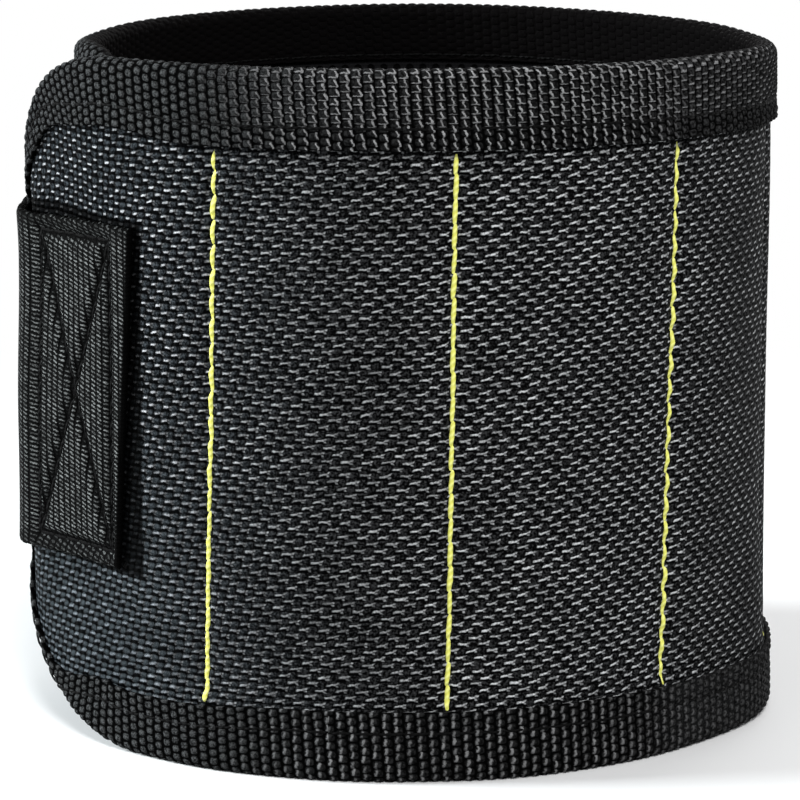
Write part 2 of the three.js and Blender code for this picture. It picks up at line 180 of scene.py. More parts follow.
def patch_flatness(s):
    """How far the sewn strap holds the left end off its circle: a flat front and a flat side, each at a
    radius of d / cos(angle - facing), whose corner and whose change to the ring are rounded by
    (a^-p + b^-p + c^-p)^(-1/p)."""
    angle = FIRST_ANGLE + s / BAND_RADIUS
    front, side = (away / np.maximum(np.cos(angle - math.radians(facing)), 0.5)
                   for away, facing in PATCH_FLATS)
    ring = BAND_RADIUS + PATCH_BULGE * smooth(-s, 18, 32)
    p = PATCH_CORNER
    return (front ** -p + side ** -p + ring ** -p) ** (-1 / p) - BAND_RADIUS


def sway(s, z):
    """Slight unevenness of sewn cloth: three long waves that cross the band at different slants and die out
    along the tail, the left end's two corners, which stand off the ring a little, the strap, which is drawn
    in at its upper half and holds the left end flat at its own height, and the bottom edge, which stands
    off at the right."""
    waves = (0.10 * np.sin(0.17 * s + 0.05 * z + 0.6)
             + 0.07 * np.sin(0.31 * s - 0.09 * z + 2.1)
             + 0.05 * np.sin(0.11 * s + 0.16 * z + 4.0))
    strap = 0.5 * smooth(z, 40, 60) * (1 - smooth(z, 62, 74))
    corners = 1.1 * smooth(z, 72, 89) + 0.6 * smooth(30 - z, 0, 28) - strap
    right = 1.0 * np.exp(-((s - 88) / 10) ** 2) * smooth(34 - z, 0, 24)
    held = patch_flatness(np.minimum(s, 10)) * smooth(z, 9, 24) * (1 - smooth(z, 69, 83))
    waves = waves * (1 - smooth(s, LAST_SEAM - 5, LAST_SEAM + 10))
    return waves + corners * smooth(-s, 10, 42) + right + held


def edge_rise(s):
    """How much the top edge stands above its even height: it rises at the left end's corner and in the
    middle of the back, and sags beside the back."""
    return (0.8 * np.exp(-((s - 178) / 38) ** 2) - 0.5 * np.exp(-((s - 108) / 18) ** 2)
            - 0.6 * np.exp(-((s - 246) / 15) ** 2) + 0.9 * np.exp(-((s + 32) / 9) ** 2))


def wrap(s, n, z):
    """Rolls the flat pattern up. Up to the last seam a point lies at radius R + n and angle s / R on the
    ring, and after it on the tail's smaller circle, which leaves the ring at that seam. The result is in
    metres."""
    s, n, z = np.broadcast_arrays(s, n, z)
    on_tail = s > LAST_SEAM
    radius = np.where(on_tail, TAIL_RADIUS, BAND_RADIUS) + n + sway(s, z)
    angle = (FIRST_ANGLE + np.minimum(s, LAST_SEAM) / BAND_RADIUS
             + np.maximum(s - LAST_SEAM, 0) / TAIL_RADIUS)
    x = radius * np.sin(angle) + on_tail * TAIL_CENTRE[0]
    y = -radius * np.cos(angle) + on_tail * TAIL_CENTRE[1]
    return np.stack([x, y, z * (1 + edge_rise(s) / BAND_HEIGHT)], -1) * MM


def half_height(end, side, reach, inset):
    """Height of a rounded end's edge above or below its tip at a reach: b (1 - (x/a)^p)^(1/p)."""
    run = end[side]
    height = end["tip"] if side == "below" else BAND_HEIGHT - end["tip"]
    u = np.clip((reach - end["length"] + run) / (run - inset), 0, 1)
    return (height - inset) * (1 - u ** end["power"]) ** (1 / end["power"])


def edges(s, inset):
    """Lowest and highest z of the band at s, moved in from its edge by an inset."""
    left, tail = -s, s - LAST_SEAM
    below, above = (np.where(s < 0, half_height(LEFT, side, left, inset),
                             half_height(TAIL, side, tail, inset)) for side in ("below", "above"))
    tip = np.where(s < 0, LEFT["tip"], TAIL["tip"])
    return tip - below, tip + above


def seam_lean(s, z):
    """The yellow seams aren't sewn quite upright: their upper ends lie a little further along the band, by
    a slant that differs from seam to seam."""
    number = np.clip(np.round(s / COLUMN), 0, COLUMNS).astype(int)
    return SEAM_SLANT[number] * (z - MIDDLE) + SEAM_SHIFT[number]


def seam_distance(s, z):
    """Distance along the band to the nearest yellow seam."""
    off = s - seam_lean(s, z)
    nearest = np.clip(np.round(off / COLUMN), 0, COLUMNS) * COLUMN
    return np.abs(off - nearest)


def pull(s, z):
    """How strongly the nearest seam draws the padding in: (1 - 2d/w)^4 within half a column of it."""
    return np.clip(1 - 2 * seam_distance(s, z) / COLUMN, 0, 1) ** 4


def needle(z):
    """1 at each needle hole of a yellow seam and 0 half way between two."""
    return np.cos(math.pi * (z - TAPE_OUTSIDE) / YELLOW_STITCH) ** 2


def shell_face(s, z):
    """Depth of the shell's outer face: the seam's broad dip, a narrow crease that is deepest at the needle
    holes, and short puckers that run out of the crease. The fourth seam lies a little deeper. All fade out
    under the tape."""
    d = seam_distance(s, z)
    low, high = edges(s, 0)
    inside = smooth(np.minimum(z - low, high - z), TAPE_OUTSIDE - 0.8, TAPE_OUTSIDE + 1)
    crease = np.exp(-(d / 0.85) ** 2) * (0.3 + 0.12 * needle(z))
    pucker = 0.09 * np.exp(-d / 2.6) * np.sin(2 * math.pi * (z + 0.25 * d) / YELLOW_STITCH + 0.7 * s)
    valley = 0.31 * np.exp(-((s - 3 * COLUMN) / 2.0) ** 2)
    return -inside * (STITCH_DIP * pull(s, z) + crease + pucker + valley)


def new_object(name, data):
    """An object of the scene for a mesh, a lamp or the camera."""
    made = bpy.data.objects.new(name, data)
    bpy.context.scene.collection.objects.link(made)
    return made


def quads(grid):
    """The four corners of each face of closed tubes: the quads between neighbouring rings, and at both ends
    the rungs from one half of the ring to the other. grid has one more column than the ring, which comes
    back to the start."""
    ring = grid.shape[2] - 1
    rung = np.arange(ring // 2 - 1)
    mate = ring - 1 - rung
    first, last = grid[:, 0], grid[:, -1]
    faces = [
        (grid[:, :-1, :-1], grid[:, :-1, 1:], grid[:, 1:, 1:], grid[:, 1:, :-1]),
        (first[:, rung], first[:, mate], first[:, mate - 1], first[:, rung + 1]),
        (last[:, rung], last[:, rung + 1], last[:, mate - 1], last[:, mate]),
    ]
    return np.concatenate([np.stack(corners, -2).reshape(-1, 4, grid.shape[-1]) for corners in faces])


def make_piece(name, points, uv, material):
    """A mesh of closed tubes. points is (tubes, stations, ring, 3): rings of points carried along a path,
    joined to each other and closed at both ends. uv has one more column than the ring."""
    tubes, stations, ring, _ = points.shape
    index = np.arange(tubes * stations * ring).reshape(tubes, stations, ring, 1)
    faces = quads(np.concatenate([index, index[:, :, :1]], 2))[..., 0]
    corners = quads(uv)
    flat = points.reshape(-1, 3)
    a, b, c, d = (flat[faces[:, k]] for k in range(4))
    if (a * (np.cross(b, c) + np.cross(c, d))).sum() < 0:
        faces, corners = faces[:, ::-1], corners[:, ::-1]
    mesh = bpy.data.meshes.new(name)
    mesh.vertices.add(len(flat))
    mesh.vertices.foreach_set("co", flat.astype(np.float32).ravel())
    mesh.loops.add(faces.size)
    mesh.loops.foreach_set("vertex_index", faces.astype(np.int32).ravel())
    mesh.polygons.add(len(faces))
    mesh.polygons.foreach_set("loop_start", np.arange(0, faces.size, 4, dtype=np.int32))
    mesh.update(calc_edges=True)
    mesh.uv_layers.new(name="pattern").uv.foreach_set("vector", corners.astype(np.float32).ravel())
    ends = np.empty(len(mesh.edges) * 2, np.int32)
    mesh.edges.foreach_get("vertices", ends)
    ends = ends.reshape(-1, 2)
    station, place = ends // ring % stations, ends % ring
    step = np.abs(place[:, 0] - place[:, 1])
    rim = (station[:, 0] == station[:, 1]) & np.isin(station[:, 0], (0, stations - 1))
    rim &= (step == 1) | (step == ring - 1)
    mesh.attributes.new("sharp_edge", "BOOLEAN", "EDGE").data.foreach_set("value", rim)
    mesh.materials.append(material)
    piece = new_object(name, mesh)
    return piece


def sheet_piece(name, place, along, z, outer, inner, material):
    """A closed sheet: its outer face and then, backwards, its inner face, which are the same part of the
    flat pattern at two depths. place() puts them in space, and the pattern map is that flat pattern."""
    flat = np.stack([along, z], -1)
    flat = np.concatenate([flat, flat[:, ::-1]], 1)
    depth = np.concatenate([outer, inner[:, ::-1]], 1)
    points = place(flat[..., 0], depth, flat[..., 1])
    uv = np.concatenate([flat, flat[:, :1]], 1)
    return make_piece(name, points[None], uv[None], material)


def layer(name, s, count, outer, inner, material):
    """One layer of the band: a count of even rows at each station s, from the lower edge to the upper one.
    outer and inner give the depths of its two faces."""
    low, high = edges(s[:, None], SHELL_INSET)
    z = low + (high - low) * np.linspace(0, 1, count)
    s = s[:, None] + 0 * z
    return sheet_piece(name, wrap, s, z, outer(s, z), inner(s, z), material)


JOINTS = {joint["name"]: joint for joint in frame["joints"]}


def bend(piece, joint_name, spread, centre=(0, 0)):
    """Bakes a piece's place into its mesh. It works out a joint's fold, the ring's tangent there taken
    round a centre, and the points a spread each side of the fold, but uses none of them."""
    joint = JOINTS[joint_name]
    fold = np.array(joint["pos_m"])
    out = fold[:2] - np.array(centre) * MM
    along = np.array([-out[1], out[0], 0]) / np.linalg.norm(out)
    towards = -joint["axis"][2] * along
    fold - towards * spread * MM
    fold + towards * spread * MM
    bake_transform(piece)


class Value:
    """A shader value. The operators add Math nodes to its tree."""

    def __init__(self, tree, socket):
        self.tree, self.socket = tree, socket

    def node(self, kind, settings, inputs, output=0):
        """Any node: its type, settings, the values or links of its sockets, and which output comes back."""
        made = self.tree.nodes.new(kind)
        for key, value in settings.items():
            setattr(made, key, value)
        for key, value in inputs.items():
            if isinstance(value, Value):
                self.tree.links.new(value.socket, made.inputs[key])
            else:
                made.inputs[key].default_value = value
        return Value(self.tree, made.outputs[output])

    def math(self, operation, *others):
        return self.node("ShaderNodeMath", {"operation": operation}, dict(enumerate((self, *others))))

    def __add__(self, other):
        return self.math("ADD", other)

    def __sub__(self, other):
        return self.math("SUBTRACT", other)

    def __mul__(self, other):
        return self.math("MULTIPLY", other)

    def __truediv__(self, other):
        return self.math("DIVIDE", other)

    def __pow__(self, other):
        return self.math("POWER", other)

    def __mod__(self, other):
        return self.math("FLOORED_MODULO", other)

    def __rsub__(self, other):
        return self.node("ShaderNodeMath", {"operation": "SUBTRACT"}, {0: other, 1: self})

    __radd__, __rmul__ = __add__, __mul__

    def floor(self):
        return self.math("FLOOR")

    def sin(self):
        return self.math("SINE")

    def abs(self):
        return self.math("ABSOLUTE")

    def at_least(self, other):
        return self.math("MAXIMUM", other)

    def at_most(self, other):
        return self.math("MINIMUM", other)

    def between(self, low, high):
        """0 below low, 1 above high, smooth in between."""
        settings = {"interpolation_type": "SMOOTHSTEP"}
        return self.node("ShaderNodeMapRange", settings, {"Value": self, "From Min": low, "From Max": high})

    def near(self, middle, full, none):
        """1 within a distance of a middle value, 0 beyond another."""
        return 1 - (self - middle).abs().between(full, none)

    def mix(self, first, second):
        """A colour that goes from the first to the second as this value goes from 0 to 1."""
        return self.node("ShaderNodeMix", {"data_type": "RGBA"}, {0: self, 6: first, 7: second}, output=2)


def start_material(name):
    """A new material, its Principled shader, and a helper that adds nodes to its tree."""
    material = bpy.data.materials.new(name)
    material.use_nodes = True
    tree = material.node_tree
    tree.nodes.clear()
    shader = tree.nodes.new("ShaderNodeBsdfPrincipled")
    output = tree.nodes.new("ShaderNodeOutputMaterial")
    tree.links.new(shader.outputs[0], output.inputs[0])
    return material, shader, Value(tree, None)


def object_place(helper):
    """The place in space, in metres."""
    return helper.node("ShaderNodeTexCoord", {}, {}, output="Object")


def pattern(helper):
    """The pattern map's two coordinates, in millimetres."""
    place = helper.node("ShaderNodeUVMap", {"uv_map": "pattern"}, {})
    return (helper.node("ShaderNodeSeparateXYZ", {}, {0: place}, output=0),
            helper.node("ShaderNodeSeparateXYZ", {}, {0: place}, output=1))


def speckle(helper, size, detail=2.0):
    """Soft noise in space, between 0 and 1, with lumps of a size in millimetres."""
    inputs = {"Vector": object_place(helper), "Scale": 1 / (size * MM), "Detail": detail}
    return helper.node("ShaderNodeTexNoise", {}, inputs)


def luck(helper, first, second):
    """An even chance between 0 and 1 for each pair of whole numbers, the same every time."""
    pair = helper.node("ShaderNodeCombineXYZ", {}, {0: first, 1: second})
    return helper.node("ShaderNodeTexWhiteNoise", {"noise_dimensions": "2D"}, {"Vector": pair})


def make_material(name, recipe, *choices):
    """A material. Its recipe adds the nodes and gives what varies over it, colour, roughness and height,
    then how high the bump stands in millimetres, and the shader's constants."""
    material, shader, helper = start_material(name)
    colour, rough, height, depth, constants = recipe(helper, *choices)
    bump = helper.node("ShaderNodeBump", {}, {"Height": height, "Strength": 1.0, "Distance": depth * MM})
    for value, socket in ((colour, "Base Color"), (rough, "Roughness"), (bump, "Normal")):
        helper.tree.links.new(value.socket, shader.inputs[socket])
    for socket, value in constants.items():
        shader.inputs[socket].default_value = value
    return material


def rgb(red, green, blue):
    return (red, green, blue, 1.0)


def grey(level):
    return rgb(level, level, level)


def nylon(helper):
    """Coarse black nylon in plain weave. In each cell of warp and weft the thread on top arches up along
    itself, sin(pi t), and is round across itself, 1 - (2t - 1)^2. Painted black shade fills the gaps where
    warp and weft meet. Painted highlights lie on the weft's floats in short dashes that fork where they go
    under the next warp, dimmed by painted shade in the first column, low at the left end and on the right
    side. Towards the left end the warp is painted a lit bluish grey, darker off its crowns as painted
    shade, the dashes are short and a painted black shadow shows under each. Beside the sewn strap a painted
    contact shadow darkens the cloth."""
    s, z = pattern(helper)
    drift, dip = speckle(helper, 1.6) - 0.5, speckle(helper, 2.0) - 0.5
    warp = (s - z * WEAVE_LEAN + drift * 0.8) / WARP_PITCH
    weft = (z + dip * 0.6) / WEFT_PITCH
    column, row = warp.floor(), weft.floor()
    across, up = warp - column, weft - row
    under = (column + row) % 2
    side = 1 - under * 2
    weft_top = (across * math.pi).sin() * side * 0.62 + (1 - (up * 2 - 1) ** 2.0) * 0.5
    warp_top = (up * math.pi).sin() * side * -0.5 + (1 - (across * 2 - 1) ** 2.0) * 0.38
    strand = ((up * 5 + across * 0.6) * math.pi).sin() * 0.03
    height = weft_top.at_least(warp_top) + strand
    chance = luck(helper, column, row)
    other = luck(helper, row, column + 71)
    fray = speckle(helper, 0.45, 3.0) - 0.5
    left = 1 - s.between(-20.0, 22.0)
    low = left * (1 - z.between(15.0, 55.0))
    right = s.between(58.0, 84.0)
    # Where warp and weft meet, painted black shade fills the gaps between the threads.
    seam = (weft_top - warp_top).abs().between(0.0, 0.3 + left * 0.2)
    # The dashes and forks below are painted highlights on the weft floats and on the warp's flanks.
    level = up - across * 0.16 + fray * 0.3 + other * 0.14 - left * 0.14
    reach = (across + chance * 0.12).near(0.58, 0.28 - left * 0.12, 0.52 - left * 0.12)
    reach = reach.at_least(low * across.near(0.5, 0.3, 0.56))
    dash = level.near(0.49, 0.06, 0.22 + low * 0.07) * reach * (1 - under)
    arm = (up - 0.5).abs()
    fork = (across - 1 + under - arm * 0.4 + fray * 0.25).near(-0.04, 0.08, 0.21) * arm.near(0.2, 0.07, 0.2)
    fork = fork * (1 - left * 0.95) * (1 - right * 0.7) * (0.2 + fray.abs() * 3 + chance * 0.5)
    # A painted black shadow on the lower part of each weft float, under its dash.
    painted_float_shadow = (1 - under) * (1 - up.between(0.55, 0.9))
    patchy = speckle(helper, 9.0)
    grain = speckle(helper, 0.3, 4.0)
    body = grain.between(0.42, 0.66).mix(rgb(0.0009, 0.0009, 0.001), rgb(0.033, 0.0336, 0.035))
    # Towards the left end the warp is painted a lit bluish grey, as light falls there, and darker off its
    # crowns as painted shade.
    painted_lit_grey = grain.between(0.38, 0.64).mix(rgb(0.006, 0.0072, 0.0084), rgb(0.05, 0.059, 0.067))
    painted_lit_grey = (low * 0.5).mix(painted_lit_grey, rgb(0.055, 0.067, 0.074))
    painted_lit_grey = height.between(0.3, 0.86).mix(rgb(0.0015, 0.0018, 0.002), painted_lit_grey)
    body = left.mix(body, painted_lit_grey)
    body = (painted_float_shadow * 0.95).mix(body, rgb(0.0006, 0.0006, 0.0007))
    colour = seam.at_least(left * 0.8).mix(grey(0.0005), body)
    # A painted contact shadow on the cloth along the sewn strap's edges.
    beside = (s + LEFT_END - STRAP_PATCH).at_least((z - TIP_HEIGHT).abs() - STRAP_WIDTH / 2)
    painted_strap_shadow = 1 - beside.between(0.4, 1.1)
    # Painted shade on the highlights: darker in the first column's middle, low at the left end and on the
    # right side.
    dim = (1 - s.near(12.0, 6.0, 22.0) * 0.4) * (1 - low * 0.15) * (1 - right * 0.25)
    # The painted highlights' colour, bluish and softer towards the left end.
    shine = left.mix(rgb(0.65, 0.66, 0.675), rgb(0.52, 0.53, 0.55))
    shine = low.mix(shine, rgb(0.2, 0.225, 0.25))
    uneven = (patchy * 0.9 + other * 0.6 - 0.05) * (0.55 + grain.between(0.36, 0.6) * 0.6)
    colour = (dash * dim * uneven).mix(colour, shine)
    colour = (fork * dim).mix(colour, rgb(0.42, 0.425, 0.435))
    colour = (painted_strap_shadow * 0.93).mix(colour, grey(0.0005))
    rough = 0.6 - dash * 0.25
    height = height + fray * 0.1 + grain * 0.1
    return colour, rough, height, 0.4, {"Specular IOR Level": 0.008}


def grosgrain(helper):
    """Black tape whose ribs cross it: each rib is a row of rounded blocks, set off by half a block from the
    next rib's. The blocks are modelled, with painted black shade in the gaps between. Round the left end
    they are painted an even lit grey; elsewhere a painted highlight runs along one side of each, and along
    its upper edge on the top tape, and the blocks' grey is painted lighter or darker by where they lie as
    the light falls. The half that is folded to the inside is painted dull and dark as shade."""
    u, v = pattern(helper)
    place = object_place(helper)
    side = helper.node("ShaderNodeSeparateXYZ", {}, {0: place}, output="X")
    left, right = 1 - side.between(-0.028, -0.004), side.between(0.02, 0.044)
    turn, far = side.between(-0.006, 0.022), side.between(0.03, 0.038)
    loose = 1 - v.between(2.2, 3.0)
    upper = helper.node("ShaderNodeSeparateXYZ", {}, {0: place}, output="Z").between(0.04, 0.05)
    rib = (u - v * TAPE_LEAN) / RIB
    number = (rib + 0.5).floor()
    x = rib - number
    block = v / BLOCK + (number % 2) * 0.5
    y = block - block.floor() - 0.5
    chance, other = luck(helper, number, block.floor()), luck(helper, block.floor(), number + 37)
    fibre = speckle(helper, 0.35, 3.0)
    grain = speckle(helper, 0.22, 3.0)
    apart = (x.abs() * 2) ** 3.0 + (y.abs() * 2) ** 3.0 * (1 - left * 0.25)
    gap = (apart + (fibre - 0.5) * 0.9 + left * 0.26).between(0.35, 0.8)
    # Painted highlights: a streak along one side of each block, which on the top tape moves across the
    # block along the band, and an arm along each block's upper edge on the top tape; none at the left end,
    # weaker towards the right and on the loose band beyond the stitches, as painted shade.
    shift = (y * 5.0).sin() * (0.06 - upper * 0.15) + (chance - 0.5) * 0.14 + (fibre - 0.5) * 0.35
    thin = 0.19 - upper * 0.06
    lie = upper * (turn * 0.56 - 0.14) - 0.14
    streak = (x + shift).near(lie, 0.03, thin) * (y + (other - 0.5) * 0.3).near(0.0, 0.24, 0.52)
    arm = (y + shift).near(-0.33, 0.02, 0.13 + far * 0.1) * x.near(0.0, 0.2, 0.46) * upper
    streak = streak * (1 - right * (0.85 - upper * 0.35)) * (1 - far * upper)
    shine = streak.at_least(arm * (1 - loose) * 0.85) * (other * 0.7 + grain * 1.3 - 0.1)
    shine = shine * (1 - left) * (1 - loose * right * 0.5)
    # The blocks' grey is painted lighter or darker by where they lie on the band, as the light falls: a
    # little darker just right of the middle, lighter far right, lightest on the bottom tape at the right.
    bright = turn.mix(rgb(0.019, 0.0193, 0.0196), rgb(0.014, 0.014, 0.0142))
    bright = far.mix(bright, rgb(0.032, 0.0323, 0.0328))
    bright = (right * (1 - upper)).mix(bright, rgb(0.044, 0.0444, 0.045))
    front = fibre.between(0.4, 0.64).mix(rgb(0.003, 0.003, 0.0031), bright)
    # Round the left end the blocks are painted a lit grey, lightest furthest left, as the light falls
    # there.
    painted_lit_tone = side.between(-0.034, -0.012).mix(rgb(0.085, 0.0882, 0.0898), rgb(0.039, 0.0404, 0.041))
    painted_lit_grey = (grain * 0.7 + fibre * 0.3).between(0.36, 0.66).mix(rgb(0.006, 0.0063, 0.0064), painted_lit_tone)
    gap_shade = (far * (1 - upper)).mix(grey(0.0004), rgb(0.008, 0.0081, 0.0083))
    colour = gap.mix(left.mix(front, painted_lit_grey), gap_shade)
    colour = (shine * (upper * 0.45 + 0.5)).mix(colour, rgb(0.32, 0.32, 0.324))
    # The fold and the inside leg are painted near black as shade.
    colour = v.between(9.6, 11.2).mix(colour, rgb(0.0022, 0.0019, 0.002))
    rough = 0.75 - shine * 0.25
    height = (x * (chance - 0.5) + y * (other - 0.5)) * 0.6 + shine * 0.3 - gap * 0.5 + fibre * 0.3
    return colour, rough, height, 0.15, {"Specular IOR Level": 0.012}


def box_lines(run, z):
    """1 along the box-and-cross stitching of the sewn patch, 0 away from it."""
    (r0, r1), (z0, z1) = BOX_RUN, BOX_HEIGHT
    wide, tall = r1 - r0, z1 - z0
    sides = (run - (r0 + r1) / 2).abs() - wide / 2
    ends = (z - (z0 + z1) / 2).abs() - tall / 2
    within = (1 - sides.between(0.0, 0.5)) * (1 - ends.between(0.0, 0.5))
    steep = wide / math.hypot(wide, tall)
    rise = (run - r0) * (tall / wide)
    cross = ((z - z0 - rise) * steep).abs().at_most(((z - z1 + rise) * steep).abs())
    return cross.at_most(sides.abs()).at_most(ends.abs()).near(0.0, 0.35, 0.95) * within


def webbing(helper):
    """Black strap webbing: columns across the strap's run, each a ladder of dashes that slant down to one
    side, painted as highlights, with the grooves between columns painted a shade darker. It is dull along
    its selvedges and past the box of stitches, and painted dark as shade in the stitch lines' furrows and
    as a shadow on the slanted cut end."""
    run, z = pattern(helper)
    column = run / STRAP_RIB
    number = column.floor()
    across = column - number
    fibre = speckle(helper, 0.5, 3.0)
    grain = speckle(helper, 0.25, 3.0)
    dash = z / STRAP_DASH - across * 0.65 + (number % 2) * 0.5 + (fibre - 0.5) * 0.9
    wave = ((dash * 2) * math.pi).sin() * 0.5 + 0.5
    ridge = 1 - (across * 2 - 1).abs() ** 3.0
    height = ridge * 0.6 + wave * ridge * 0.5
    selvedge = (z - TIP_HEIGHT).abs().between(STRAP_WIDTH / 2 - 2.0, STRAP_WIDTH / 2 - 1.4)
    start = (TIP_HEIGHT + STRAP_WIDTH / 2 - z) * CUT_SLANT - STRAP_PATCH
    cut = 1 - (run - start).between(0.25, 0.7)
    # Painted shadow on the cut end's side, and painted shade in the stitch lines' furrows.
    dark = cut.at_least(box_lines(run, z))
    # The dashes' painted highlights, dimmed along the selvedges and past the box of stitches.
    light = (wave * ridge).between(0.4, 0.86) * (1 - selvedge * 0.6) * (1 - dark)
    light = light * (1 - run.near(-16.0, 7.0, 13.0) * 0.3)
    chance = luck(helper, number, dash.floor())
    # The grooves between columns are painted a shade darker than the columns' crowns.
    colour = (ridge * 0.8 * (1 - dark)).mix(grey(0.0004), rgb(0.002, 0.0021, 0.0021))
    colour = (light * grain.between(0.3, 0.66) * (chance + 0.5)).mix(colour, rgb(0.2, 0.21, 0.207))
    rough = 0.7 - light * 0.2
    return colour, rough, height, 0.2, {"Specular IOR Level": 0.02}


def mesh_lining(helper):
    """Black spacer mesh: staggered round eyes in a knitted face."""
    s, z = pattern(helper)
    row = z / 1.7
    number = row.floor()
    across = s / 2.0 + (number % 2) * 0.5
    x = (across - across.floor() - 0.5) * 2.0
    y = (row - number - 0.5) * 1.7
    eye = 1 - (x * x + y * y).between(0.12, 0.42)
    knit = ((s + z) * 7.0).sin() * ((s - z) * 7.0).sin()
    colour = eye.mix(rgb(0.006, 0.006, 0.0066), grey(0.0006))
    rough = 0.8 + eye * 0.1
    return colour, rough, knit * 0.15 - eye, 0.3, {"Specular IOR Level": 0.04}


def loop_pile(helper):
    """Black brushed loops: crossing curls, which are the ridges |noise - 1/2| of two noises, over a slow
    unevenness of the nap."""
    curl = 1 - (speckle(helper, 1.1, 2.0) - 0.5).abs().between(0.0, 0.07)
    tangle = 1 - (speckle(helper, 0.7, 1.0) - 0.48).abs().between(0.0, 0.06)
    slow = speckle(helper, 7.0)
    fuzz = curl.at_least(tangle * 0.8)
    colour = (fuzz * (slow * 0.9 + 0.1)).mix(grey(0.0012), rgb(0.05, 0.05, 0.052))
    rough = 0.95 - fuzz * 0.2
    return colour, rough, fuzz, 0.35, {"Specular IOR Level": 0.08}


def hook_plastic(helper):
    """Black moulded hook tape: staggered rows of small stems on a smooth sheet."""
    run, z = pattern(helper)
    row = run / 0.9
    place = z / 0.9 + (row.floor() % 2) * 0.5
    x, y = row - row.floor() - 0.5, place - place.floor() - 0.5
    stem = 1 - (x * x + y * y).between(0.03, 0.14)
    colour = stem.mix(grey(0.002), grey(0.02))
    rough = 0.5 - stem * 0.15
    height = stem + speckle(helper, 0.8) * 0.1
    return colour, rough, height, 0.35, {"Specular IOR Level": 0.4}


def thread(helper, dark, light, shine):
    """Plied sewing thread: the plies wind round it, so that slanting furrows cross its length; the furrows
    are painted darker as shade.
    """
    length, turn = pattern(helper)
    furrow = ((length * 2.2 + turn * 2) * math.pi).sin() * 0.5 + 0.5
    fluff = speckle(helper, 0.35)
    # Painted lighter on the plies' crests and darker in the furrows, as light and shade, with some fluff.
    colour = (furrow * 0.75 + fluff * 0.25).mix(dark, light)
    rough = 0.55 + furrow * 0.1
    return colour, rough, furrow, 0.08, {"Specular IOR Level": shine}


def nickel(helper):
    """Nickel-plated magnet: bright metal with faint tumbling marks."""
    marks = speckle(helper, 1.2, 4.0)
    colour = marks.mix(rgb(0.55, 0.55, 0.53), rgb(0.7, 0.69, 0.67))
    rough = 0.2 + marks * 0.15
    return colour, rough, marks, 0.01, {"Metallic": 1.0}


NYLON = make_material("shell_nylon", nylon)
GROSGRAIN = make_material("binding_grosgrain", grosgrain)
WEBBING = make_material("strap_webbing", webbing)
LINING = make_material("lining_mesh", mesh_lining)
PILE = make_material("loop_pile", loop_pile)
HOOKS = make_material("hook_plastic", hook_plastic)
NICKEL = make_material("magnet_nickel", nickel)
YELLOW = make_material("seam_thread_yellow", thread, rgb(0.74, 0.73, 0.11), rgb(0.95, 0.96, 0.3), 0.3)
BLACK = make_material("binding_thread_black", thread, grey(0.0008), rgb(0.0035, 0.0035, 0.0036), 0.04)

# Spans of the layers: name, joint at their fold, first and last s
SPANS = [
    ("left_end", "fold_left_end", -LEFT_END, 0.5 * COLUMN),
    ("columns_1_2", "fold_column_1", 0.5 * COLUMN, 1.5 * COLUMN),
    ("columns_2_3", "unroll", 1.5 * COLUMN, 2.5 * COLUMN),
    ("columns_3_4", "fold_column_4", 2.5 * COLUMN, 3.5 * COLUMN),
    ("columns_4_5", "fold_column_5", 3.5 * COLUMN, 4.5 * COLUMN),
    ("column_5_tail", "fold_tail_root", 4.5 * COLUMN, TAIL_CUT),
    ("tail", "fold_tail_tip", TAIL_CUT, TAIL_END),
]
STRETCHES = ["left_end", *(f"column_{k + 1}" for k in range(COLUMNS)), "tail_root", "tail_tip"]
SEAM_SPREAD = 8.0
TAIL_SPREAD = 12.0
STRAP_SPREAD = 5.0


def bend_span(piece, number):
    """Hands a piece of a span to bend() with the joint at its fold and a spread."""
    joint = SPANS[number][1]
    if joint == "fold_tail_tip":
        bend(piece, joint, TAIL_SPREAD, TAIL_CENTRE)
    else:
        bend(piece, joint, SEAM_SPREAD)


def stations(number, step):
    """Stations of a span: even steps, which close up towards a rounded end as the sine of an even turn."""
    _, _, first, last = SPANS[number]
    if number == 0:
        start = LEFT["below"] - LEFT_END
        turn = np.linspace(1 - 1 / 80, 0, 40)
        round_end = start - (LEFT["below"] - SHELL_INSET) * np.sin(turn * math.pi / 2)
        return np.concatenate([round_end, np.arange(start + step, last, step), [last]])
    if number == len(SPANS) - 1:
        start = TAIL_END - TAIL["below"]
        turn = np.linspace(0, 1 - 1 / 60, 30)
        round_end = start + (TAIL["below"] - SHELL_INSET) * np.sin(turn * math.pi / 2)
        return np.concatenate([np.arange(first, start - step / 2, step), round_end])
    return np.linspace(first, last, int(math.ceil((last - first) / step)) + 1)


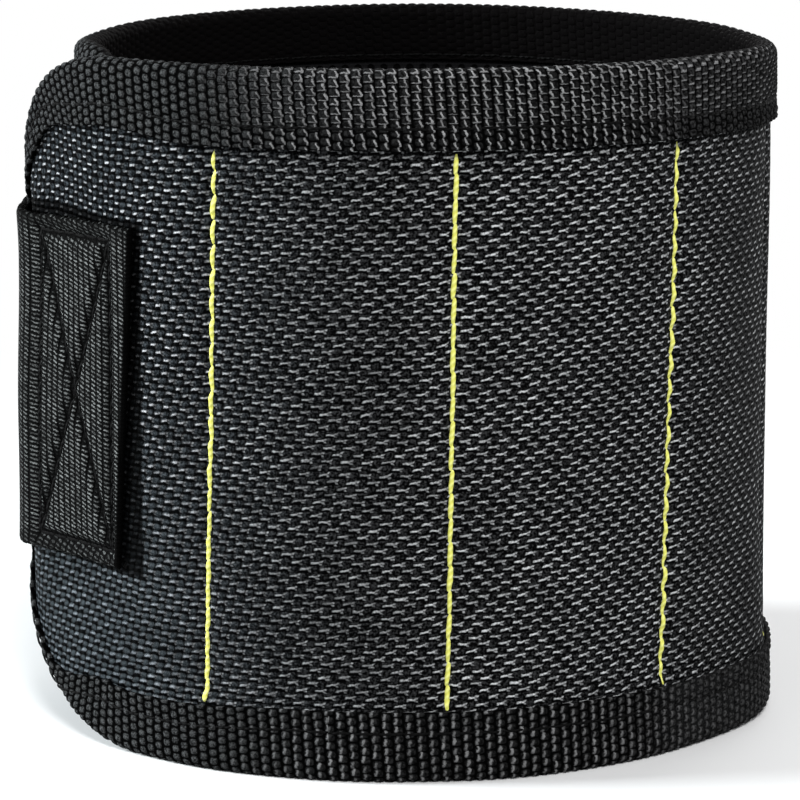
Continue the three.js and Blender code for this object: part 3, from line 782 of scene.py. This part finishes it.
def pad_faces():
    """Depths of the padded lining's two faces. Its inner face is thin at the hem and the seams and crowned
    between them; towards the shell it has a channel for the magnets in the middle of each column."""
    def room(s, z):
        low, high = edges(s, 0)
        tip = np.minimum(s + LEFT_END, TAIL_END - s)
        return np.minimum(np.minimum(z - low, high - z), tip)

    def outer(s, z):
        column = (s > 0) & (s < LAST_SEAM)
        off = np.abs(s % COLUMN - COLUMN / 2)
        channel = column * (1 - smooth(off, 8.3, 9.3)) * smooth(room(s, z), 10.5, 12.0)
        dip = (STITCH_DIP + 0.7 * np.exp(-(seam_distance(s, z) / 1.2) ** 2)) * pull(s, z)
        dip = dip * smooth(room(s, z), TAPE_OUTSIDE - 1.2, TAPE_OUTSIDE + 0.6)
        return -PAD_TOP - dip - channel * (MAGNET_FLOOR + 0.05 - PAD_TOP)

    def inner(s, z):
        thick = np.where((s > 0) & (s < LAST_SEAM), COLUMN_PAD_THICK, END_PAD_THICK)
        drawn = pull(s, z)
        clear = smooth(room(s, z), TAPE_INSIDE + 0.5, TAPE_INSIDE + 5)
        pucker = 0.12 * np.exp(-seam_distance(s, z) / 3) * np.sin(2 * math.pi * z / YELLOW_STITCH)
        return -PAD_TOP - HEM_THICK - clear * ((thick - HEM_THICK) * (1 - drawn) + 0.9 * drawn + pucker)

    return outer, inner


def add_layers():
    """The shell's cloth and the padded lining, span by span."""
    pad_outer, pad_inner = pad_faces()

    def shell_back(s, z):
        return shell_face(s, z) - SHELL_THICK

    for number, (name, *_) in enumerate(SPANS):
        s = stations(number, SHELL_STEP)
        shell = layer(f"cloth_{name}", s, SHELL_ROWS, shell_face, shell_back, NYLON)
        lining = layer(f"lining_{name}", stations(number, PAD_STEP), PAD_ROWS, pad_outer, pad_inner,
                       LINING)
        for piece in (shell, lining):
            bend_span(piece, number)
        low, high = edges(s, SHELL_INSET)
        for stretch in STRETCHES[number:number + 2]:
            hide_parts(f"shell_{stretch}")
            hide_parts(f"pad_{stretch}")


def tape_profile(count_face, width):
    """The folded tape's section at each station: its points as inset from the edge and depth, its normal
    there, and the distance v across the tape. The middle line runs in along the outside leg, which covers a
    width of the shell, round a half circle at the edge and back along the inside leg, and is drawn in at
    the stitch line."""
    top, bottom = TAPE_PROUD - TAPE_THICK / 2, TAPE_THICK / 2 - TAPE_DEPTH
    radius = (top - bottom) / 2
    centre = radius + TAPE_THICK / 2
    fold = math.pi * radius
    v = np.linspace(0, TAPE_OUTSIDE + TAPE_INSIDE - 2 * centre + fold, count_face)
    outside = width[:, None] - centre
    turn = np.clip((v - outside) / radius, 0, math.pi)
    inset = np.where(v < outside, width[:, None] - v, centre - radius * np.sin(turn))
    inset = np.where(v > outside + fold, centre + v - outside - fold, inset)
    middle = (top + bottom) / 2
    depth = middle + radius * np.cos(turn)
    line = width[:, None] - TAPE_OUTSIDE + TAPE_STITCH_INSET
    depth = depth - 0.14 * np.exp(-((inset - line) / 0.7) ** 2) * np.cos(turn)
    across = np.gradient(inset, v, axis=1), np.gradient(depth, v, axis=1)
    length = np.hypot(*across)
    return v, inset, depth, (across[1] / length, -across[0] / length)


def tape_width(s, z):
    """How much of the shell the tape covers: a little less below than above, and less round the left end,
    where more of it is folded to the inside. Round the tail it changes evenly from edge to edge."""
    above = 10 - 1.4 * smooth(-s, 2, 16) - 2.6 * smooth(-s, 22, 38) - 2.0 * smooth(-s, 40, 56)
    below = 9.2 - 0.9 * smooth(-s, -12, 8) - 6.3 * smooth(-s, 19, 36)
    left_end = np.where(z > TIP_HEIGHT, above, below + (4.0 - below) * smooth(z, 15, 46))
    return np.where(s > LAST_SEAM, 9.2 + 0.8 * smooth(z, 15, 75), left_end)


def rim_path(end, straight_to, sign, offset, step):
    """The rim of a rounded end, from the top edge round the tip to the bottom edge, as a function of an
    inset: straight to each corner, then along (x/a)^p + (z/b)^p = 1. Its stations are even along the rim,
    and the rib count along it is stretched a little so that ribs meet those of the straight tape on both
    edges."""
    turns = np.linspace(0, 1, 4001)
    above, below = end["length"] - end["above"], end["length"] - end["below"]

    def flat(q, inset):
        turn = np.where(q < 2, q - 1, 3 - q) * math.pi / 2
        turn = np.clip(turn, 0, math.pi / 2)
        upper = q < 2
        run = np.where(upper, end["above"], end["below"])
        height = np.where(upper, BAND_HEIGHT - end["tip"], end["tip"])
        power = 2 / end["power"]
        reach = end["length"] - run + (run - inset) * np.sin(turn) ** power
        rise = (height - inset) * np.cos(turn) ** power
        reach = np.where(q < 1, straight_to + (above - straight_to) * q, reach)
        reach = np.where(q > 3, below + (straight_to - below) * (q - 3), reach)
        return offset + sign * reach, end["tip"] + np.where(upper, rise, -rise)

    q = np.concatenate([turns[:-1] + k for k in range(4)] + [[4.0]])
    s, z = flat(q, TAPE_OUTSIDE / 2)
    length = np.concatenate([[0], np.cumsum(np.hypot(np.diff(s), np.diff(z)))])
    start = -(offset + sign * straight_to) / RIB
    odd = 2 * start * sign % 2
    whole = odd + 2 * round((length[-1] / RIB - odd) / 2)
    count = int(round(whole * RIB / step)) + 1
    at = np.interp(np.linspace(0, length[-1], count), length, q)
    rib = start - sign * np.linspace(0, whole, count)
    return at, rib * RIB, flat


def tape_piece(name, at, u, flat, count_face):
    """Tape carried along an edge. flat(q, inset) places a point of the section in the flat pattern, and the
    outer face stands up in rounded blocks, (1 - |2x|^2.5)(1 - |2y|^2.5), set off by half a block from rib
    to rib."""
    width = tape_width(*flat(at, 0.0))
    v, inset, depth, normal = tape_profile(count_face, width)
    rib = (u[:, None] - v * TAPE_LEAN) / RIB
    number = np.floor(rib + 0.5)
    block = v / BLOCK + (number % 2) * 0.5
    x, y = np.abs(rib - number) * 2, np.abs(block - np.floor(block) - 0.5) * 2
    edge = smooth(np.minimum(v, v[-1] - v), 0, 0.3) * (1 - 0.6 * smooth(v, 9.6, 11.2))
    blocks = BLOCK_HEIGHT * ((1 - x ** 2.5) * (1 - y ** 2.5) - 0.6) * edge
    loose = smooth(inset - width[:, None] + TAPE_OUTSIDE, TAPE_STITCH_INSET, TAPE_OUTSIDE) * (depth > -1)
    lift = 0.12 * np.cos(2 * math.pi * u / TAPE_STITCH)[:, None] * loose
    out = TAPE_THICK / 2 + blocks
    coarse = np.unique(np.linspace(0, count_face - 1, TAPE_BACK).round().astype(int))[::-1]
    rows = [(inset + normal[0] * out, depth + normal[1] * out + lift),
            (inset[:, coarse] - normal[0][:, coarse] * TAPE_THICK / 2,
             depth[:, coarse] - normal[1][:, coarse] * TAPE_THICK / 2 + lift[:, coarse])]
    insets, depths = (np.concatenate(pair, 1) for pair in zip(*rows))
    s, z = flat(at[:, None], insets)
    points = wrap(s, depths, z)
    around = np.concatenate([v, v[coarse], [v[0]]])
    uv = np.stack(np.broadcast_arrays(u[:, None], around), -1)
    return make_piece(name, points[None], uv[None], GROSGRAIN)


def needle_holes(first, last, pitch):
    """Even needle holes along a line, about a pitch apart."""
    return np.linspace(first, last, int(round((last - first) / pitch)) + 1)


def stitch_tubes(line, holes, seed, radius, sink, slant):
    """Lockstitches along a line. Between two neighbouring holes the thread rises out of one, lies on the
    cloth and goes down the other: height = sink * (sin(pi t)^0.45 - 1). line(a, off, up) gives the place
    for a distance along the line, an offset to the side and a height over the cloth."""
    draws = np.random.default_rng(seed).normal(0, 1, (len(holes) - 1, 3))[:, :, None, None]
    t = np.linspace(0, 1, 13)[None, :, None]
    phi = np.linspace(0, 2 * math.pi, 10, endpoint=False)[None, None, :]
    a0, a1 = holes[:-1, None, None], holes[1:, None, None]
    swell = (1 + 0.06 * draws[:, 1]) * (0.68 + 0.32 * np.sin(math.pi * t) ** 0.6)
    ply = 1 + 0.07 * np.cos(2 * phi - 2 * math.pi * t * 2.5)
    reach = radius * swell * ply
    lie = np.sin(math.pi * np.clip(t, 0.004, 0.996)) ** 0.45 - 1
    along = a0 + (a1 - a0) * (t * 1.08 - 0.04)
    off = slant * ((1 + 0.5 * draws[:, 0]) * (t - 0.5) * 2 + 0.5 * draws[:, 2]) + reach * np.cos(phi)
    up = sink * lie + reach * 0.75 * (1 + np.sin(phi))
    points = line(along + 0 * phi, off, up)
    turn = np.linspace(0, 1, 11)[None, None, :]
    uv = np.stack(np.broadcast_arrays(along + 0 * turn, turn), -1)
    return points, uv


def stitch_piece(name, lines, material):
    """One piece of thread from the stitches of several lines."""
    points, uv = (np.concatenate(part) for part in zip(*lines))
    return make_piece(name, points, uv, material)


def add_binding():
    """The folded tape: C-shaped round both ends, and a top and a bottom length in each span between. A
    black stitch line holds it on the outside and on the inside."""
    step = RIB / 6
    left = rim_path(LEFT, -0.5 * COLUMN, -1, 0.0, step)
    pieces = [(tape_piece("tape_left_end", *left, TAPE_FACE), 0, left)]
    for number in range(1, len(SPANS) - 1):
        span, _, first, last = SPANS[number]
        s = np.linspace(first, last, int(round((last - first) / step)) + 1)
        for side in ("top", "bottom"):
            path = (s, -s if side == "top" else s, straight_edge(side))
            pieces.append((tape_piece(f"tape_{side}_{span}", *path, TAPE_FACE), number, path))
    tail = rim_path(TAIL, TAIL_CUT - LAST_SEAM, 1, LAST_SEAM, RIB / 5)
    pieces.append((tape_piece("tape_tail", *tail, TAIL_TAPE_FACE), len(SPANS) - 1, tail))
    covers = {
        "tape_left_end": ["binding_left_end", "binding_top_1", "binding_bottom_1"],
        "tape_tail": ["binding_tail_tip", "binding_top_tail", "binding_bottom_tail"],
    }
    for piece, number, (at, u, flat) in pieces:
        bend_span(piece, number)
        length = abs(u[-1] - u[0])
        length * MM
        side = "top" if "top" in piece.name else "bottom"
        nodes = covers.get(piece.name) or straight_tape_nodes(number, side)
        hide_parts(*nodes)
        add_tape_stitches(piece.name, number, at, u, flat)


def straight_tape_nodes(number, side):
    """The solids that a straight length of tape stands for."""
    names = [str(k) if k <= COLUMNS else "tail" for k in (number, number + 1)]
    return [f"binding_{side}_{name}" for name in names]


def straight_edge(side):
    """Places the tape's section along the top or the bottom edge."""
    def flat(s, inset):
        return s + 0 * inset, (BAND_HEIGHT - inset if side == "top" else inset) + 0 * s
    return flat


def add_tape_stitches(tape_name, number, at, u, flat):
    """Black lockstitches along a length of tape, outside and inside."""
    run = np.abs(u - u[0])
    lines = []
    for height, sign in ((TAPE_PROUD, 1), (-TAPE_DEPTH, -1)):

        def line(along, off, up, height=height, sign=sign):
            q = np.interp(along, run, at)
            line_inset = tape_width(*flat(q, 0.0)) - TAPE_OUTSIDE + TAPE_STITCH_INSET
            s, z = flat(q, np.maximum(line_inset, 0.8) + off)
            return wrap(s, height + sign * (up - 0.2), z)

        lines.append(stitch_tubes(line, needle_holes(0, run[-1], TAPE_STITCH), 7, **TAPE_THREAD))
    stitches = stitch_piece(tape_name.replace("tape_", "tape_stitches_"), lines, BLACK)
    bend_span(stitches, number)


def add_seams():
    """The yellow seams: a lockstitch line on each seam, whose ends go down under the two tapes."""
    for number in range(COLUMNS + 1):
        s0 = number * COLUMN
        low, high = tape_width(s0, 0.0), BAND_HEIGHT - tape_width(s0, BAND_HEIGHT)

        def line(along, off, up, s0=s0, low=low, high=high):
            middle = s0 + seam_lean(s0, along)
            under = 0.25 * (1 - smooth(np.minimum(along - low, high - along), 0, 2.5))
            return wrap(middle + off, shell_face(middle, along) + up - 0.12 - under, along)

        stitches = stitch_tubes(line, needle_holes(low, high, YELLOW_STITCH), 20 + number, **YELLOW_THREAD)
        seam = stitch_piece(f"seam_stitches_{number + 1}", [stitches], YELLOW)
        bend_span(seam, number)
        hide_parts(f"seam_thread_{number + 1}")


def tail_distance(angle, n):
    """Distance from the ring's axis to the tail's surface at depth n, in the direction of an angle."""
    turn = angle - LAST_ANGLE
    return TAIL_SHIFT * np.cos(turn) + np.sqrt((TAIL_RADIUS + n) ** 2 - (TAIL_SHIFT * np.sin(turn)) ** 2)


# The run at which the tape's inner edge, on its rounded corner, comes out from under the strap's edge
TAPE_MEETS_STRAP = -LEFT["below"] + (LEFT["below"] - TAPE_OUTSIDE) * (
    1 - (STRAP_WIDTH / 2 / (TIP_HEIGHT - TAPE_OUTSIDE)) ** LEFT["power"]) ** (1 / LEFT["power"])


def strap_point(run, n, z):
    """The strap's surface. Its inner face lies on the shell, climbs onto the tape, runs past the left end's
    tip and comes down to the loop panel on the tail; run is counted from the tip, negative on the sewn
    patch. The strap sags a little at its bend."""
    run, n, z = np.broadcast_arrays(run, n, z)
    angle = TIP_ANGLE - run / BAND_RADIUS
    climb = smooth(run, TAPE_MEETS_STRAP - STRAP_CLIMB, TAPE_MEETS_STRAP - LAYER_GAP)
    over_end = BAND_RADIUS + LAYER_GAP + TAPE_PROUD * climb
    over_tail = tail_distance(angle, LOOP_PROUD + HOOK_THICK + 2 * LAYER_GAP)
    down = smooth(run, STRAP_OVERHANG, STRAP_OVERHANG + STRAP_STEP)
    radius = over_end + (over_tail - over_end) * down + n
    radius = radius + sway(-LEFT_END - np.minimum(run, 0), z) * (1 - down)
    sag = 0.6 * smooth(run, -40, -12) * (1 - smooth(run, 2, 25))
    return np.stack([radius * np.sin(angle), -radius * np.cos(angle), z - sag], -1) * MM


def strap_half(run, inset):
    """Half the strap's width at a run: its free end has rounded corners, (x/a)^4 + (z/b)^4 = 1."""
    u = np.clip((run - STRAP_REACH + STRAP_ROUND) / (STRAP_ROUND - inset), 0, 1)
    return (STRAP_WIDTH / 2 - inset) * (1 - u ** STRAP_POWER) ** (1 / STRAP_POWER)


def rectangle(runs, heights):
    """The four sides of a box of stitches."""
    (r0, r1), (z0, z1) = runs, heights
    corners = [(r0, z0), (r0, z1), (r1, z1), (r1, z0), (r0, z0)]
    return list(zip(corners[:-1], corners[1:]))


def box_and_cross():
    """The six stitch lines that hold the strap's patch."""
    (r0, r1), (z0, z1) = BOX_RUN, BOX_HEIGHT
    return rectangle(BOX_RUN, BOX_HEIGHT) + [((r0, z0), (r1, z1)), ((r1, z0), (r0, z1))]


def box_groove(run, z):
    """How deep the sewn patch is drawn in: a furrow along each stitch line, exp(-(d/w)^2) of its
    distance."""
    deep = np.zeros(np.broadcast(run, z).shape)
    for (r0, z0), (r1, z1) in box_and_cross():
        dr, dz = r1 - r0, z1 - z0
        t = np.clip(((run - r0) * dr + (z - z0) * dz) / (dr * dr + dz * dz), 0, 1)
        gap = np.hypot(run - r0 - t * dr, z - z0 - t * dz)
        deep = np.maximum(deep, np.exp(-(gap / 0.85) ** 2))
    return STITCH_GROOVE * deep


def strap_piece(name, runs, count, inset, depths, material, groove=None):
    """A length of strap as a closed sheet between two depths, with round selvedges, a cut end that slants,
    and furrows in its outer face where it has a groove."""
    run = runs[:, None]
    cut = np.minimum(run + STRAP_PATCH, STRAP_REACH - run) / (STRAP_THICK / 2)
    cut = np.sqrt(1 - (1 - np.clip(cut, 0.02, 1)) ** 2)
    w = np.sin(np.linspace(-1, 1, count) * math.pi / 2 * 0.97) / math.sin(math.pi / 2 * 0.97)
    w = 0.35 * w + 0.65 * np.linspace(-1, 1, count)
    loops = 0.12 * np.sin(2 * math.pi * run / STRAP_RIB) + 0.08 * np.sin(0.9 * run)
    z = TIP_HEIGHT + w * strap_half(run, inset) + loops * smooth(np.abs(w), 0.95, 1) * np.sign(w)
    run = run + CUT_SLANT * STRAP_WIDTH / 2 * (1 - w) * (1 - smooth(run, -STRAP_PATCH, -STRAP_PATCH / 3))
    edge = cut * np.sqrt(np.clip(1 - np.clip((np.abs(w) - 0.975) / 0.025, 0, 1) ** 2, 0, 1))
    bottom, top = depths
    middle, half = (top + bottom) / 2, (top - bottom) / 2
    outer = middle + half * edge - (groove(run, z) if groove else 0)
    return sheet_piece(name, strap_point, run, z, outer, middle - half * edge, material)


def runs_to_end(first, inset):
    """Runs to the strap's free end, which close up round its corners as the sine of an even turn."""
    start = STRAP_REACH - STRAP_ROUND
    turn = np.linspace(0, 1 - 1 / 40, 24)
    return np.concatenate([np.arange(first, start - 0.2, 0.5),
                           start + (STRAP_ROUND - inset) * np.sin(turn * math.pi / 2)])


def stitch_lines(name, lines, place):
    """Black lockstitches along straight lines of a flat piece; place(run, up, z) lays them on its face."""
    sewn = []
    for number, ((r0, z0), (r1, z1)) in enumerate(lines):
        length = math.hypot(r1 - r0, z1 - z0)
        dr, dz = (r1 - r0) / length, (z1 - z0) / length

        def line(along, off, up, r0=r0, z0=z0, dr=dr, dz=dz):
            return place(r0 + dr * along - dz * off, up, z0 + dz * along + dr * off)

        sewn.append(stitch_tubes(line, needle_holes(0, length, TAPE_STITCH), 40 + number, **STRAP_THREAD))
    return stitch_piece(name, sewn, BLACK)


def add_strap():
    """The strap in two pieces, cut half way along its root: the sewn patch with the root's first half, and
    the root's second half with the pull end, each handed to bend() with its joint. The hook tape is sewn
    under the pull end and, with the pull end's stitches, attached to the strap's end; the patch's stitches
    are attached to the left end."""
    cut = STRAP_FOLD / 2
    rounded = -STRAP_PATCH + STRAP_THICK / 2 * (1 - np.cos(np.linspace(0.1, 1, 8) * math.pi / 2))
    patch_runs = np.concatenate([rounded, np.linspace(-STRAP_PATCH + 0.9, cut, PATCH_STATIONS)])
    thick = (0, STRAP_THICK)
    patch = strap_piece("strap_patch", patch_runs, PATCH_ROWS, 0, thick, WEBBING, box_groove)
    pull_end = strap_piece("strap_pull", runs_to_end(cut, 0), PULL_ROWS, 0, thick, WEBBING)
    hook_runs = runs_to_end(STRAP_FOLD + HOOK_MARGIN, HOOK_MARGIN)
    below = (-LAYER_GAP - HOOK_THICK, -LAYER_GAP)
    hooks = strap_piece("strap_hooks", hook_runs, HOOK_ROWS, HOOK_MARGIN, below, HOOKS)
    bend(patch, "strap_peel", STRAP_SPREAD)
    bend(pull_end, "strap_end_lift", STRAP_SPREAD)
    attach(hooks, "strap_end")
    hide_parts("strap_anchor", "closing_strap")
    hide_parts("strap_pull_end", "closing_strap")
    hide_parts("hook_tape")

    def on_patch(run, up, z):
        return strap_point(run, STRAP_THICK - box_groove(run, z) + up - 0.1, z)

    def on_pull_end(run, up, z):
        return strap_point(run, STRAP_THICK + up - 0.1, z)

    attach(stitch_lines("strap_box_stitches", box_and_cross(), on_patch), "left_end")
    hold = rectangle(PULL_BOX_RUN, PULL_BOX_HEIGHT)
    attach(stitch_lines("strap_pull_stitches", hold, on_pull_end), "strap_end")


def add_loop_panel():
    """The loop panel on the tail's outer face, handed to bend() at the tail's fold, with its box of
    stitches.
    """
    s = np.arange(LAST_SEAM + LOOP_START, LAST_SEAM + TAIL_TO_TIP + LOOP_TUCK, LOOP_STEP)[:, None]
    w = np.linspace(-1, 1, LOOP_ROWS)
    z = TIP_HEIGHT + w * LOOP_WIDTH / 2 + 0 * s
    end = np.minimum(s - s[0], s[-1] - s)
    edge = np.sqrt(np.clip(1 - np.clip((np.abs(w) - 0.97) / 0.03, 0, 1) ** 2, 0.04, 1))
    half = edge * np.sqrt(np.clip(end / 1.2, 0.1, 1)) * LOOP_THICK / 2
    middle = LAYER_GAP + LOOP_THICK / 2
    panel = sheet_piece("loop_panel", wrap, s + 0 * z, z, middle + half, middle - half, PILE)
    bend(panel, "fold_tail_tip", TAIL_SPREAD, TAIL_CENTRE)
    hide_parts("loop_panel_root", "loop_panel_tip")

    def on_panel(at, up, height):
        return wrap(at, LOOP_PROUD + up - 0.15, height)

    ends = float(s[0, 0]) + 1.6, float(s[-1, 0]) - 1.6
    hold = rectangle(ends, (TIP_HEIGHT - LOOP_WIDTH / 2 + 1.8, TIP_HEIGHT + LOOP_WIDTH / 2 - 1.8))
    stitches = stitch_lines("loop_stitches", hold, on_panel)
    bend(stitches, "fold_tail_tip", TAIL_SPREAD, TAIL_CENTRE)


# The studio, in metres, watts and degrees. Lamps: name, place, size, power and colour
FLOOR_SIDE = 6.0
LAMP_TARGET = Vector((0, 0, 0.045))
LAMPS = [
    ("key", (0.14, -0.92, 0.8), 0.35, 10.0, (1.0, 1.0, 1.0)),
    ("left", (-1.1, 0.0, 0.5), 0.45, 22.0, (0.92, 0.98, 1.0)),
    ("right", (1.0, -0.1, 0.6), 0.45, 2.0, (1.0, 1.0, 1.0)),
    ("back", (0.3, 1.0, 0.8), 0.8, 5.0, (1.0, 1.0, 1.0)),
]
CAMERA_PLACE = (0, -0.5171, 0.1321)
CAMERA_TILT = 10.08
CAMERA_LENS = 172.5
CAMERA_SENSOR = 36.0


def background_ray(helper):
    """1 for rays that show the white background: the camera's, and those that metal or glass sends on."""
    kinds = ("Is Camera Ray", "Is Glossy Ray", "Is Transmission Ray")
    camera, mirrored, through = (helper.node("ShaderNodeLightPath", {}, {}, output=kind) for kind in kinds)
    return camera.at_least(mirrored).at_least(through)


def add_floor():
    """A pale floor that keeps the shadow and goes over to white further off."""
    mesh = bpy.data.meshes.new("floor")
    side = FLOOR_SIDE
    corners = [(-side, -side, 0), (side, -side, 0), (side, side, 0), (-side, side, 0)]
    mesh.from_pydata(corners, [], [(0, 1, 2, 3)])
    floor = new_object("floor", mesh)
    material, shader, helper = start_material("floor_pale")
    shader.inputs["Roughness"].default_value = 0.8
    shader.inputs["Specular IOR Level"].default_value = 0.0
    seen = background_ray(helper)
    links = helper.tree.links
    links.new(seen.mix(grey(0.5), grey(0.92)).socket, shader.inputs["Base Color"])
    place = {0: object_place(helper)}
    away = helper.node("ShaderNodeVectorMath", {"operation": "LENGTH"}, place, output="Value")
    white = helper.node("ShaderNodeEmission", {}, {"Color": grey(1), "Strength": 1.0})
    surface = {0: away.between(0.09, 0.3) * seen, 1: Value(helper.tree, shader.outputs[0]), 2: white}
    output = next(node for node in helper.tree.nodes if node.type == "OUTPUT_MATERIAL")
    links.new(helper.node("ShaderNodeMixShader", {}, surface).socket, output.inputs[0])
    mesh.materials.append(material)


def add_world():
    """White surroundings, which light the object softly."""
    world = bpy.data.worlds.new("studio")
    world.use_nodes = True
    bpy.context.scene.world = world
    tree = world.node_tree
    tree.nodes.clear()
    helper = Value(tree, None)
    soft = helper.node("ShaderNodeBackground", {}, {"Color": rgb(0.95, 0.97, 1.0), "Strength": 0.25})
    bright = helper.node("ShaderNodeBackground", {}, {"Color": grey(1), "Strength": 1.0})
    both = helper.node("ShaderNodeMixShader", {}, {0: background_ray(helper), 1: soft, 2: bright})
    tree.links.new(both.socket, tree.nodes.new("ShaderNodeOutputWorld").inputs[0])


def add_studio():
    """Pale floor, soft lamps, white surroundings and the camera at the photograph's angle."""
    scene = bpy.context.scene
    scene.view_settings.view_transform = "Standard"
    add_floor()
    add_world()
    for name, place, size, power, colour in LAMPS:
        data = bpy.data.lights.new(name, "AREA")
        data.shape, data.size, data.energy, data.color = "DISK", size, power, colour
        lamp = new_object(name, data)
        lamp.location = place
        lamp.rotation_euler = (LAMP_TARGET - lamp.location).to_track_quat("-Z", "Y").to_euler()
    data = bpy.data.cameras.new("camera")
    data.sensor_width, data.lens = CAMERA_SENSOR, CAMERA_LENS
    camera = new_object("camera", data)
    camera.location = CAMERA_PLACE
    camera.rotation_euler = (math.radians(90 - CAMERA_TILT), 0, 0)
    scene.camera = camera


add_studio()
add_layers()
add_binding()
add_seams()
add_loop_panel()
add_strap()
for node_name, node in frame["nodes"].items():
    if node_name.startswith("magnet_"):
        node.data.materials.clear()
        node.data.materials.append(NICKEL)
